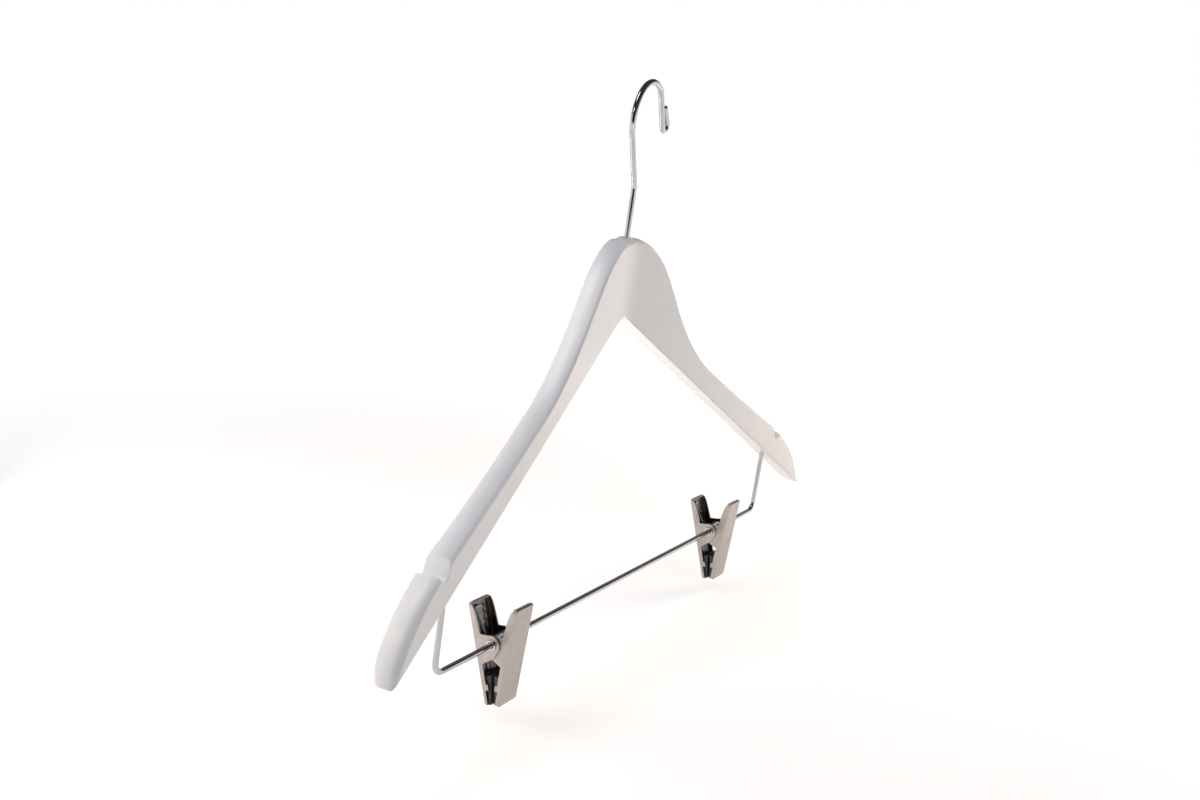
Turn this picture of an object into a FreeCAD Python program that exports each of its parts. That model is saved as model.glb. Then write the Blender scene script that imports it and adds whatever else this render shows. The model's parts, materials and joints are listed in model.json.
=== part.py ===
import FreeCAD, Part
import math
import os

Vector = FreeCAD.Vector

# A contoured wooden skirt hanger: a two-piece board with a swivel wire hook above it,
# and a wire bar below it that carries two sprung clips.
#
# Frame: millimetres. X runs along the hanger, -Y is the hollow front of the board, +Z is up.
# The origin is where a rail lies under the hook's bow, on the axis that the hook turns about.

# Board
width = 448.0                # tip to tip
board_thickness = 12.0
sweep_deg = 9.5              # each arm bends forward by this much
bend_radius = 66.0           # middle of the board, at the soft bend of the head
slope_deg = 30.6             # lower edge, below level
head_height = 43.0           # from the crotch to the top of the head
edge_round = 2.2             # long edges below
crown_rise = 1.0             # top of the board, middle above its sides
corner_share = 0.28          # most of a low section's height that a round takes
# Rows along an arm: share of the half width, then shares of head_height above the
# straight lower edge, for the top and for the underside
arm_shares = (
    (0.000, 1.000, 0), (0.045, 1.108, 0), (0.095, 1.153, 0), (0.146, 1.096, 0),
    (0.195, 0.922, 0), (0.242, 0.721, 0), (0.299, 0.543, 0), (0.383, 0.414, 0),
    (0.478, 0.410, 0), (0.597, 0.434, 0), (0.717, 0.472, 0), (0.812, 0.496, 0),
    (0.860, 0.486, 0), (0.903, 0.457, 0), (0.942, 0.384, 0), (0.968, 0.275, 0),
    (0.987, 0.149, 0), (0.997, 0.065, 0.012),
)

# Strap notch in the top of each arm
notch_place = 185.7          # from the middle of the hanger to the notch's round floor
notch_radius = 3.2
notch_depth = 6.2            # floor below the top outline
notch_lean_deg = 18.0        # the wall towards the head leans back

# Glued finger joint at the head
finger_count = 5
finger_length = 9.0

# Swivel hook
hook_wire = 3.3
bow_radius = 20.0            # all hook radii are to the middle of the wire
bow_offset = 5.3             # the bow's centre stands this far from the stem's axis
bow_rise = 35.0              # from the kink to the bow's centre
stem_rise = 26.9             # from the top of the head to the kink
kink_radius = 5.0
nose_deg = 60.0              # where the bow tightens, above level
nose_radius = 9.0
bow_end_deg = 27.0           # the nose ends this far above level and the wire runs straight on
end_run = 19.3
return_radius = 3.0          # hairpin at the wire's end
return_run = 8.8
hook_turn_deg = 6.0          # the hook stands a little out of the board's plane

# What holds the hook in the head
bush_diameter = 6.0
bush_length = 24.0
bush_set = 6.0               # top of the bush, below the top of the head
washer_diameter = 5.4
washer_thickness = 0.8
stop_diameter = 5.0
stop_length = 4.0
stem_overhang = 1.0          # wire below its stop collar
swivel_gap = 0.06            # wire in its bush, on the radius
hole_gap = 0.30              # wire in the wood, on the radius
seat_gap = 0.10              # washer under the bush, and collar under the washer

# Wire bar
bar_wire = 3.0
leg_place = 176.6            # from the middle of the hanger to each leg
leg_forward = 1.5            # legs stand in front of the middle of the board
bar_drop = 144.4             # from the crotch to the bar
corner_radius = 6.0
leg_depth = 11.0             # leg inside the wood
leg_end_gap = 1.0            # hole above the leg's end

# Clips: both alike
left_clip_place = -123.0
right_clip_place = 118.0
clip_tilt_deg = 8.2          # clips hang plumb from a hanger that leans forward
jaw_spread_deg = 11.2        # each plate stands off the clip's middle plane
plate = 0.8
plate_offset = 9.9           # outer face of a plate from the pivot's axis
thumb_length = 21.4          # plate above the pivot
jaw_length = 29.2            # plate below the pivot
jaw_width = 16.2             # both plates are one stamping, the front one turned about
ear_gap = 0.15               # between the ears, which lie side by side
lip_depth = 2.2
lip_flange = 1.3             # depth of the side flange at the lip
thumb_flange = 3.7           # half way down the thumb
root_flange = 4.6            # just above the ear
jaw_flange = 3.0
tab_flange = 4.1
end_flange = 2.2
ear_radius = 4.8
ear_low = 6.8                # lower edge of the ear, below the pivot
ear_root = 9.2               # where the ear runs out into the flange, below the pivot
tab_top = 19.5               # tab that holds the grip, below the pivot
tab_length = 3.0
root_rise = 5.6              # where the thumb's flange meets the ear, above the pivot

# Hollow rivet that the clip turns on
rivet_diameter = 5.0
rivet_flange = 6.5
rivet_flange_thickness = 0.5
pivot_gap = 0.06             # rivet in the ears, on the radius
bar_gap = 0.07               # bar in the rivet, on the radius
flange_gap = 0.10            # rivet's flange beside the ear

# Spring
spring_wire = 1.1
spring_radius = 3.7          # middle of the wire
spring_pitch = 1.65
spring_loops = 6
spring_reach = 17.0          # leg's end above the pivot
spring_stand = 0.25          # leg clear of the plate
spring_end = 5.0             # leg's end bent across the plate
spring_bend = 1.6

# Moulded grips in the jaws
grip_top = 15.5              # below the pivot
grip_side_gap = 0.3          # grip beside the flanges
grip_meet_gap = 0.2          # grip to the clip's middle plane
grip_foot = 1.0              # grip below the plate's end
grip_foot_set = 0.4          # foot inside the plate's outer face

# One overrun serves all cuts
overrun = 5.0

half_width = width / 2
half_board = board_thickness / 2
sweep = math.radians(sweep_deg)
slope = math.radians(slope_deg)
hook_r = hook_wire / 2
bar_r = bar_wire / 2
bush_r = bush_diameter / 2
rivet_r = rivet_diameter / 2
jaw_shift = (plate + ear_gap) / 2
ear_bend = math.radians(67.5)

# Heights, from the rail seat down
bow_height = -math.sqrt((bow_radius - hook_r) ** 2 - bow_offset ** 2)
kink_height = bow_height - bow_rise
head_top = kink_height - stem_rise
crotch = head_top - head_height
bush_top = head_top - bush_set
bush_bottom = bush_top - bush_length
washer_top = bush_bottom - seat_gap
stop_top = washer_top - washer_thickness - seat_gap
bar_height = crotch - bar_drop
tip_bottom = crotch - half_width * math.tan(slope)


def board_middle(x):
    """Y of the middle of the board, outside the bend."""
    across = abs(x) - bend_radius * math.sin(sweep)
    return bend_radius * (math.cos(sweep) - 1) - across * math.tan(sweep)


bar_y = board_middle(leg_place) - leg_forward


def lower_edge(x):
    """Height of the board's lower edge."""
    return crotch - abs(x) * math.tan(slope)


def elevation(x, z):
    """Point of the front view."""
    return Vector(x, 0, z)


def arc_about(centre, radius, start_deg, end_deg):
    """Arc in the front view, with angles counted from +X towards +Z."""
    points = []
    for angle in (start_deg, (start_deg + end_deg) / 2, end_deg):
        turn = math.radians(angle)
        points.append(centre + elevation(radius * math.cos(turn), radius * math.sin(turn)))
    return Part.Arc(*points).toShape()


def line(start, end):
    return Part.LineSegment(start, end).toShape()


def mirrored(shape):
    return shape.mirror(Vector(0, 0, 0), Vector(1, 0, 0))


def top_level(x):
    """Height of the board's top outline, between the rows of the table."""
    share = abs(x) / half_width
    for low, high in zip(arm_shares, arm_shares[1:]):
        if low[0] <= share <= high[0]:
            blend = (share - low[0]) / (high[0] - low[0])
            return lower_edge(x) + head_height * (low[1] + blend * (high[1] - low[1]))
    return lower_edge(x)


def arm_section(x, low, high):
    """Closed outline across the board: round below, flat sides, and a crowned top."""
    turn = min(math.asin(min(1, x / bend_radius)), sweep)
    if turn < sweep:
        y = bend_radius * (math.cos(turn) - 1)
    else:
        y = board_middle(x)
    centre = Vector(x, y, 0)
    across = Vector(math.sin(turn), math.cos(turn), 0)
    height = high - low
    corner = min(edge_round, height * corner_share)
    crown = min(crown_rise, height * corner_share)
    bow = corner * (1 - math.sqrt(0.5))

    def at(side, z):
        return centre + across * side + Vector(0, 0, z)

    def corner_arc(sign):
        start = at(sign * (half_board - corner), low)
        middle = at(sign * (half_board - bow), low + bow)
        end = at(sign * half_board, low + corner)
        return start, middle, end

    front = corner_arc(-1)
    back = corner_arc(1)
    front_top = at(-half_board, high - crown)
    back_top = at(half_board, high - crown)
    edges = [line(back[0], front[0]), Part.Arc(*front).toShape(), line(front[2], front_top)]
    edges += [Part.Arc(front_top, at(0, high), back_top).toShape(), line(back_top, back[2])]
    edges += [Part.Arc(*reversed(back)).toShape()]
    return Part.Wire(edges)


def arm_half():
    """Right half of the board, lofted from the middle of the head to the tip."""
    sections = []
    for along, height, rise in arm_shares:
        x = along * half_width
        low = lower_edge(x)
        sections.append(arm_section(x, low + rise * head_height, low + height * head_height))
    return Part.makeLoft(sections, True, False)


def upright_bore(x, y, radius, low, high):
    return Part.makeCylinder(radius, high - low, Vector(x, y, low))


def notch_cutter():
    """Strap notch of the right arm: a round floor, with the inner wall leaning back."""
    x = notch_place
    reach = board_thickness + half_width * math.tan(sweep)
    centre = elevation(x, top_level(x) - notch_depth + notch_radius)
    lean = math.radians(notch_lean_deg)
    inner_side = centre + elevation(-math.cos(lean), -math.sin(lean)) * notch_radius
    rise = elevation(-math.sin(lean), math.cos(lean)) * board_thickness
    outer_side = centre + elevation(notch_radius, 0)
    floor = Part.Arc(inner_side, centre - elevation(0, notch_radius), outer_side).toShape()
    outer_top = outer_side + elevation(0, board_thickness)
    edges = [floor, line(outer_side, outer_top), line(outer_top, inner_side + rise)]
    edges.append(line(inner_side + rise, inner_side))
    face = Part.Face(Part.Wire(Part.__sortEdges__(edges)))
    face.translate(Vector(0, -reach, 0))
    return face.extrude(Vector(0, reach + board_thickness, 0))


def finger_region():
    """Everything that belongs to the left half: its side of the glued finger joint."""
    finger = head_height / finger_count
    points = [elevation(-half_width - overrun, head_top + overrun)]
    side = 1
    level = head_top + overrun
    for step in range(finger_count):
        points.append(elevation(side * finger_length / 2, level))
        level = head_top - (step + 1) * finger
        if step == finger_count - 1:
            level = tip_bottom - overrun
        points.append(elevation(side * finger_length / 2, level))
        side = -side
    points.append(elevation(-half_width - overrun, tip_bottom - overrun))
    face = Part.Face(Part.makePolygon(points + points[:1]))
    reach = half_width * math.tan(sweep) + board_thickness
    face.translate(Vector(0, -reach - overrun, 0))
    return face.extrude(Vector(0, reach + board_thickness + 2 * overrun, 0))


def arms():
    """Left and right half of the board, bored for the hook and for the bar's legs."""
    half = arm_half()
    board = half.fuse(mirrored(half))
    cuts = [notch_cutter(), mirrored(notch_cutter())]
    cuts.append(upright_bore(0, 0, hook_r + hole_gap, crotch, head_top + overrun))
    cuts.append(upright_bore(0, 0, bush_r, crotch - overrun, bush_top))
    for x in (-leg_place, leg_place):
        leg_end = lower_edge(leg_place) + leg_depth
        cuts.append(upright_bore(x, bar_y, bar_r, bar_height, leg_end + leg_end_gap))
    for cut in cuts:
        board = board.cut(cut)
    region = finger_region()
    return {"left_arm": board.common(region), "right_arm": board.cut(region)}


def wire_sweep(edges, radius):
    """Round wire along tangent edges."""
    path = Part.Wire(edges)
    first = path.Edges[0]
    start = first.valueAt(first.FirstParameter)
    heading = first.tangentAt(first.FirstParameter)
    ring = Part.Wire([Part.Circle(start, heading, radius).toShape()])
    solid = path.makePipeShell([ring], True, False)
    return Part.Solid(solid) if solid.ShapeType == "Shell" else solid.Solids[0]


def hook():
    """Stem, kink, bow, its tighter nose, and the hairpin that turns the wire's end outwards."""
    centre = elevation(bow_offset, bow_height)
    kink = elevation(0, kink_height)
    to_centre = centre - kink
    reach = to_centre.Length
    bearing = math.atan2(to_centre.z, to_centre.x)
    lean = bearing + math.asin(bow_radius / reach)
    run = math.sqrt(reach ** 2 - bow_radius ** 2)
    up_run = elevation(math.cos(lean), math.sin(lean))
    bow_start = kink + up_run * run
    kink_turn = lean - math.pi / 2
    tangent = kink_radius * math.tan(kink_turn / 2)
    kink_in = kink - elevation(0, tangent)
    kink_out = kink + up_run * tangent
    kink_centre = kink_in - elevation(kink_radius, 0)
    kink_arc = arc_about(kink_centre, kink_radius, 0, math.degrees(kink_turn))
    start_deg = math.degrees(lean) + 90
    bow = arc_about(centre, bow_radius, start_deg, nose_deg)
    nose_turn = math.radians(nose_deg)
    to_nose = elevation(math.cos(nose_turn), math.sin(nose_turn))
    nose_centre = centre + to_nose * (bow_radius - nose_radius)
    nose = arc_about(nose_centre, nose_radius, nose_deg, bow_end_deg)
    bow_end_turn = math.radians(bow_end_deg)
    down = elevation(math.sin(bow_end_turn), -math.cos(bow_end_turn))
    out = elevation(math.cos(bow_end_turn), math.sin(bow_end_turn))
    bow_end = nose_centre + out * nose_radius
    run_end = bow_end + down * end_run
    pin_centre = run_end + out * return_radius
    pin_end = run_end + out * return_radius * 2
    hairpin = Part.Arc(run_end, pin_centre + down * return_radius, pin_end).toShape()
    stem_foot = elevation(0, stop_top - stop_length - stem_overhang)
    edges = [line(stem_foot, kink_in), kink_arc, line(kink_out, bow_start), bow, nose]
    edges += [line(bow_end, run_end), hairpin, line(pin_end, pin_end - down * return_run)]
    wire = wire_sweep(edges, hook_r)
    end_ball = Part.makeSphere(hook_r, pin_end - down * return_run)
    wire = wire.fuse(end_ball).removeSplitter()
    wire.rotate(Vector(0, 0, 0), Vector(0, 0, 1), hook_turn_deg)
    return wire


def ring(outer, inner, low, high):
    """Upright ring about the hook's axis."""
    return upright_bore(0, 0, outer, low, high).cut(upright_bore(0, 0, inner, low, high))


def hook_fittings():
    """Bush in the head, and the washer and collar that hang the board on the hook's foot."""
    bore = hook_r + swivel_gap
    bush = ring(bush_r, bore, bush_bottom, bush_top)
    washer = ring(washer_diameter / 2, bore, washer_top - washer_thickness, washer_top)
    collar = ring(stop_diameter / 2, hook_r, stop_top - stop_length, stop_top)
    return {"hook_bush": bush, "hook_washer": washer, "hook_collar": collar}


def clip_bar():
    """Two legs in the arms and the straight bar between them, bent from one wire."""
    top = lower_edge(leg_place) + leg_depth
    inner = leg_place - corner_radius
    level = bar_height + corner_radius
    bow = corner_radius * (1 - math.sqrt(0.5))

    def at(x, z):
        return Vector(x, bar_y, z)

    left = Part.Arc(at(-leg_place, level), at(bow - leg_place, bar_height + bow), at(-inner, bar_height))
    right = Part.Arc(at(inner, bar_height), at(leg_place - bow, bar_height + bow), at(leg_place, level))
    edges = [line(at(-leg_place, top), at(-leg_place, level)), left.toShape()]
    edges += [line(at(-inner, bar_height), at(inner, bar_height)), right.toShape()]
    edges += [line(at(leg_place, level), at(leg_place, top))]
    return wire_sweep(edges, bar_r)


def side_view(y, z):
    """Point of a clip seen along the bar, from the pivot."""
    return Vector(0, y, z)


def block(size_x, y_low, y_high, z_low, z_high):
    """Block centred on the clip's width."""
    return Part.makeBox(size_x, y_high - y_low, z_high - z_low, Vector(-size_x / 2, y_low, z_low))


def middle_plane(z):
    """Y of the clip's middle plane, seen from an upright plate."""
    return -z * math.tan(math.radians(jaw_spread_deg))


def flange_face():
    """Side flange with its ear, for a plate that stands upright behind the pivot."""
    outer = plate_offset
    swoop_start = side_view(outer - lip_flange, thumb_length)
    swoop_middle = side_view(outer - thumb_flange, (thumb_length + root_rise) / 2)
    swoop_end = side_view(outer - root_flange, root_rise)
    ear_start = side_view(0, ear_radius)
    ear_middle = side_view(-ear_radius * math.sin(ear_bend), ear_radius * math.cos(ear_bend))
    diagonal = ear_radius * math.sqrt(0.5)
    ear_end = side_view(-diagonal, -diagonal)
    chain = [
        side_view(ear_low - 2 * diagonal, -ear_low),
        side_view(outer - jaw_flange, -ear_root),
        side_view(outer - jaw_flange, -tab_top),
        side_view(outer - tab_flange, -tab_top),
        side_view(outer - tab_flange, -tab_top - tab_length),
        side_view(outer - end_flange, -tab_top - tab_length),
        side_view(outer - end_flange, -jaw_length),
        side_view(outer, -jaw_length),
        side_view(outer, thumb_length),
        swoop_start,
    ]
    edges = [Part.Arc(swoop_start, swoop_middle, swoop_end).toShape(), line(swoop_end, ear_start)]
    edges.append(Part.Arc(ear_start, ear_middle, ear_end).toShape())
    previous = ear_end
    for point in chain:
        edges.append(line(previous, point))
        previous = point
    return Part.Face(Part.Wire(Part.__sortEdges__(edges)))


def jaw_plate():
    """Pressed channel: thumb plate with its lip above the pivot, jaw below it, ears between."""
    side = jaw_width / 2
    inner = plate_offset - plate
    body = block(jaw_width, inner, plate_offset, -jaw_length, thumb_length)
    lip = block(jaw_width, plate_offset - lip_depth, plate_offset, thumb_length - plate, thumb_length)
    flange = flange_face()
    flange.translate(Vector(-side, 0, 0))
    left = flange.extrude(Vector(plate, 0, 0))
    jaw = body.fuse([lip, left, mirrored(left)])
    hole = Part.makeCylinder(rivet_r + pivot_gap, jaw_width, Vector(-side, 0, 0), Vector(1, 0, 0))
    return jaw.cut(hole).removeSplitter()


def jaw_grip():
    """Moulded grip that fills the wedge of a jaw and wraps under the plate's end."""
    inner = plate_offset - plate
    grip_width = jaw_width - 2 * (plate + grip_side_gap)
    foot = -jaw_length - grip_foot
    points = [
        side_view(inner, -grip_top),
        side_view(middle_plane(-grip_top) + grip_meet_gap, -grip_top),
        side_view(middle_plane(foot) + grip_meet_gap, foot),
        side_view(plate_offset - grip_foot_set, foot),
        side_view(plate_offset - grip_foot_set, -jaw_length),
        side_view(inner, -jaw_length),
    ]
    face = Part.Face(Part.makePolygon(points + points[:1]))
    face.translate(Vector(-grip_width / 2, 0, 0))
    return face.extrude(Vector(grip_width, 0, 0))


def pivot_rivet():
    """Hollow rivet along the bar, its two flanges outside the outer ears."""
    reach = jaw_width / 2 + jaw_shift + flange_gap
    along = Vector(1, 0, 0)
    total = reach + rivet_flange_thickness
    tube = Part.makeCylinder(rivet_r, 2 * total, Vector(-total, 0, 0), along)
    for start in (-total, reach):
        flange = Part.makeCylinder(rivet_flange / 2, rivet_flange_thickness, Vector(start, 0, 0), along)
        tube = tube.fuse(flange)
    bore = Part.makeCylinder(bar_r + bar_gap, 2 * total, Vector(-total, 0, 0), along)
    return tube.cut(bore).removeSplitter()


def tangent_arc(start, control, end):
    """Arc from start to end, tangent there to the lines through control."""
    chord = end - start
    middle = (start + end) / 2
    bulge = control - middle
    half_turn = math.atan2(bulge.Length, chord.Length / 2)
    sagitta = chord.Length / 2 * math.tan(half_turn / 2)
    return Part.Arc(start, middle + bulge.normalize() * sagitta, end).toShape()


def biarc(start, heading, end, end_heading):
    """Two arcs that join two points with the headings given there."""
    gap = end - start
    both = heading + end_heading
    bend = 2 * (1 - heading.dot(end_heading))
    along = gap.dot(both)
    reach = (math.sqrt(along ** 2 + bend * gap.dot(gap)) - along) / bend
    first = start + heading * reach
    second = end - end_heading * reach
    joint = (first + second) / 2
    return [tangent_arc(start, first, joint), tangent_arc(joint, second, end)]


def spring_turns():
    """Start angle and total turn of the coil, so that both legs leave it as tangents."""
    stand = plate_offset - plate - spring_stand - spring_wire / 2
    leg_bearing = math.atan2(stand, spring_reach) + math.radians(jaw_spread_deg)
    leg_reach = math.sqrt(stand ** 2 + spring_reach ** 2)
    start = leg_bearing + math.acos(spring_radius / leg_reach)
    total = 2 * math.pi * spring_loops - 2 * start
    return start, total, math.sqrt(leg_reach ** 2 - spring_radius ** 2)


def coil_point(turn, start, total):
    """Point and heading of the coil; turn is counted from +Z towards +Y."""
    rate = spring_pitch / (2 * math.pi)
    x = rate * (turn - start - total / 2)
    point = Vector(x, spring_radius * math.sin(turn), spring_radius * math.cos(turn))
    heading = Vector(rate, spring_radius * math.cos(turn), -spring_radius * math.sin(turn))
    return point, heading.normalize()


def spring():
    """One wire: bent end, leg up the back thumb, coil about the rivet, front leg, bent end."""
    start, total, leg_run = spring_turns()
    steps = math.ceil(abs(total) / (math.pi / 2))
    places = [coil_point(start + total * step / steps, start, total) for step in range(steps + 1)]
    coil = []
    for (point, heading), (end, end_heading) in zip(places, places[1:]):
        coil += biarc(point, heading, end, end_heading)

    def leg(point, away, across):
        """Edges of a leg from the coil outwards."""
        corner = point + away * leg_run
        run_end = corner - away * spring_bend
        bend_end = corner + across * spring_bend
        tail = corner + across * spring_end
        return [line(point, run_end), tangent_arc(run_end, corner, bend_end), line(bend_end, tail)]

    back = leg(places[0][0], -places[0][1], Vector(1, 0, 0))
    front = leg(places[-1][0], places[-1][1], Vector(-1, 0, 0))
    tail = [edge.reversed() for edge in reversed(back)]
    path = Part.Wire(tail + coil + front)
    report_gap(path)
    start_ring = Part.Circle(back[2].Vertexes[-1].Point, Vector(1, 0, 0), spring_wire / 2)
    return Part.Solid(path.makePipeShell([Part.Wire([start_ring.toShape()])], True, False))


def report_gap(path):
    """Print the least gap of the spring's wire to itself, measured on points."""
    count = int(path.Length / spring_wire * 3)
    points = path.discretize(Number=count)
    apart = math.ceil(4 * spring_wire * count / path.Length)
    least = path.Length
    for index, point in enumerate(points):
        for far_point in points[index + apart:]:
            least = min(least, point.distanceToPoint(far_point) - spring_wire)
    print("spring: least gap to itself %.2f mm" % least)


def clip_pieces():
    """The pieces of one clip about its pivot, closed and hanging straight down."""
    axis = Vector(1, 0, 0)
    centre = Vector(0, 0, 0)
    pieces = {"rivet": pivot_rivet(), "spring": spring()}
    for name, turn in (("back", 0), ("front", 180)):
        for kind, shape in (("jaw", jaw_plate()), ("grip", jaw_grip())):
            shape.translate(Vector(-jaw_shift, 0, 0))
            shape.rotate(centre, axis, -jaw_spread_deg)
            shape.rotate(centre, Vector(0, 0, 1), turn)
            pieces[name + "_" + kind] = shape
    return pieces


def clips():
    """Both clips on the bar, tilted as they hang."""
    nodes = {}
    for side, place in (("left", left_clip_place), ("right", right_clip_place)):
        for name, shape in clip_pieces().items():
            shape.rotate(Vector(0, 0, 0), Vector(1, 0, 0), -clip_tilt_deg)
            shape.translate(Vector(place, bar_y, bar_height))
            nodes[side + "_" + name] = shape
    return nodes


def build():
    os.makedirs("parts", exist_ok=True)
    nodes = arms()
    nodes["hook"] = hook()
    nodes.update(hook_fittings())
    nodes["clip_bar"] = clip_bar()
    nodes.update(clips())
    for name, shape in nodes.items():
        shape.exportStep("parts/%s.step" % name)
        print(name, len(shape.Solids), shape.isValid(), "%.1f mm3" % shape.Volume)
    print("crotch %.3f  bar y %.3f z %.3f" % (crotch, bar_y, bar_height))


build()
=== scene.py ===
import json
import logging
import math
from dataclasses import dataclass, field
from enum import Enum
from typing import Callable, Sequence

import bpy
from mathutils import Matrix, Vector
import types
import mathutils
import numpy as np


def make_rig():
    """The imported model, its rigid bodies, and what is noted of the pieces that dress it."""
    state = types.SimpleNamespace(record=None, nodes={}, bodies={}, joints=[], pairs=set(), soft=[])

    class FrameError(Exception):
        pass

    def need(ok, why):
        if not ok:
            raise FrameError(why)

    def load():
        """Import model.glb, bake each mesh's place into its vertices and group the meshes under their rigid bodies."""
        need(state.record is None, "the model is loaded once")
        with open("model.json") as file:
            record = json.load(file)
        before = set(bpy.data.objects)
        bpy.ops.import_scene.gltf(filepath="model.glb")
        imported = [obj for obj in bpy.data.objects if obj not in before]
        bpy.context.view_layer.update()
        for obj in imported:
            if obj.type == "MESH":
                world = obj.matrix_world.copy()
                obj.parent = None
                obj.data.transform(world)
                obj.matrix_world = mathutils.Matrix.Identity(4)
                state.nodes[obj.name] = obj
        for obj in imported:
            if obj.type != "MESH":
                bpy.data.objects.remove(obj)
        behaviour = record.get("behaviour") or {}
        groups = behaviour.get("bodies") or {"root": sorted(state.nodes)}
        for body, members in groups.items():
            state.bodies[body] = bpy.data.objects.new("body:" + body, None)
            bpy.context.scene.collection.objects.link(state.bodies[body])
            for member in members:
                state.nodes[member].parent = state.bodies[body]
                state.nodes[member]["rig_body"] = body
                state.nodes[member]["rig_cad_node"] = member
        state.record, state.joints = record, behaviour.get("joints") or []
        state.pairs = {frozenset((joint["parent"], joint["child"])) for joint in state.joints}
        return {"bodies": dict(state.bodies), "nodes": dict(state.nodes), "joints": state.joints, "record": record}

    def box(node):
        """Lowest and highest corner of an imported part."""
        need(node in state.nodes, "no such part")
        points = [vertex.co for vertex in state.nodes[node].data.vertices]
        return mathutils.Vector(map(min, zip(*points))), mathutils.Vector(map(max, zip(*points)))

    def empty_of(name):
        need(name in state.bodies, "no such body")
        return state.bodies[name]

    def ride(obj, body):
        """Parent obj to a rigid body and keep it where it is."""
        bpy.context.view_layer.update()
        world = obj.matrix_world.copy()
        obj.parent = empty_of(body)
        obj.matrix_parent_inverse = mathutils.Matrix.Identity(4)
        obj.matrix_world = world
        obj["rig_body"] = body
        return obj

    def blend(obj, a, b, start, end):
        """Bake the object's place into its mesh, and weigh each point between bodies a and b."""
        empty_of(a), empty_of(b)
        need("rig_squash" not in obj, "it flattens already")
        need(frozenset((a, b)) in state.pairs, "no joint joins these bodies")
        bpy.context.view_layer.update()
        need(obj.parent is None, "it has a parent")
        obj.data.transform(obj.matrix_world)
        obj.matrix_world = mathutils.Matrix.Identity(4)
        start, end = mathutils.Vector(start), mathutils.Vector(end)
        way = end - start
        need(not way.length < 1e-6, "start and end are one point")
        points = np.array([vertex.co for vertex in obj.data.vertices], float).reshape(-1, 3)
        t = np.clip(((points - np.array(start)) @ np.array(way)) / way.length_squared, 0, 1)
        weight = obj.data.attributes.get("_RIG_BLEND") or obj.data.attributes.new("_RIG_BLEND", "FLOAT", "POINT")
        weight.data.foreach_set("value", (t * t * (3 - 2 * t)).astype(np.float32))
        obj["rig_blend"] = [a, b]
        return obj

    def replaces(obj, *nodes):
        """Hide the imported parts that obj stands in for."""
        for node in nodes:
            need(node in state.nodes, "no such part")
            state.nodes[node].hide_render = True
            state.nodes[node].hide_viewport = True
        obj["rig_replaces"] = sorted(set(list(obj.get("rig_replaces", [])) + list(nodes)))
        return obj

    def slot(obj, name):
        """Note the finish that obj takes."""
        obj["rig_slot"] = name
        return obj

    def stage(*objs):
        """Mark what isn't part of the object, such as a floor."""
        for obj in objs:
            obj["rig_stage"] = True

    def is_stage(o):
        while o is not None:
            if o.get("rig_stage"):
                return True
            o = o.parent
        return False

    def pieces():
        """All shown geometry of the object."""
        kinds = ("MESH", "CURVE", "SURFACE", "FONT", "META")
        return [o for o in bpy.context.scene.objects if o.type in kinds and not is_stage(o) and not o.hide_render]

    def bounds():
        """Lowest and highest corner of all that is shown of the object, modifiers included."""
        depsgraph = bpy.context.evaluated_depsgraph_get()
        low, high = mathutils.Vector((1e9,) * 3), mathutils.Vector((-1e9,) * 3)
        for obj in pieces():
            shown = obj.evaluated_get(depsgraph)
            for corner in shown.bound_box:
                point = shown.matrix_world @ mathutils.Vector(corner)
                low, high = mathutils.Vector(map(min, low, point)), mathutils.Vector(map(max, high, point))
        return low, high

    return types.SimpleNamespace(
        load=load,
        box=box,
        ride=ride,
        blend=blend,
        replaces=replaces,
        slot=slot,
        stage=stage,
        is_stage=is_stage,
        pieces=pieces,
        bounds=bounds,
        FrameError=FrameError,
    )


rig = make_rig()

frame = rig.load()
CAD_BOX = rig.bounds()
log = logging.getLogger("skirt_hanger")

Place = Callable[[int, int], Vector]
RIGHT, UP = Vector((1.0, 0.0, 0.0)), Vector((0.0, 0.0, 1.0))
WHITE = (1.0, 1.0, 1.0)
WELD = 1e-6
ROUND = 48
LEAST_TIP = 0.02


class Side(Enum):
    """The two ends of the hanger; the left one is nearer to the camera."""

    LEFT = "left"
    RIGHT = "right"


class Jaw(Enum):
    """The two plates of a clip, with the half turn that takes the back one to the front."""

    BACK = 0.0
    FRONT = math.pi


# Shader graphs


class Value:
    """A shader socket that takes part in Python sums."""

    def __init__(self, graph: "Graph", socket: bpy.types.NodeSocket) -> None:
        """Keep the graph that the socket belongs to."""
        self.graph = graph
        self.socket = socket

    def math(self, operation: str, *others: "Value | float", first: float | None = None) -> "Value":
        """Add a Math node.

        Args:
            operation: the Math node's operation.
            others: the operands after this one.
            first: an operand that goes before this one.

        Returns:
            The node's result.
        """
        operands = ([] if first is None else [first]) + [self, *others]
        return self.graph.node("ShaderNodeMath", {"operation": operation}, dict(enumerate(operands)))

    def __add__(self, other: "Value | float") -> "Value":
        """Sum."""
        return self.math("ADD", other)

    def __sub__(self, other: "Value | float") -> "Value":
        """Difference."""
        return self.math("SUBTRACT", other)

    def __rsub__(self, other: float) -> "Value":
        """Difference from a number."""
        return self.math("SUBTRACT", first=other)

    def __mul__(self, other: "Value | float") -> "Value":
        """Product."""
        return self.math("MULTIPLY", other)

    def __abs__(self) -> "Value":
        """Size without sign."""
        return self.math("ABSOLUTE")

    def step(self, low: float, high: float) -> "Value":
        """Smooth step from 0 at low to 1 at high."""
        inputs = {"Value": self, "From Min": low, "From Max": high}
        return self.graph.node("ShaderNodeMapRange", {"interpolation_type": "SMOOTHSTEP"}, inputs)


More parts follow.
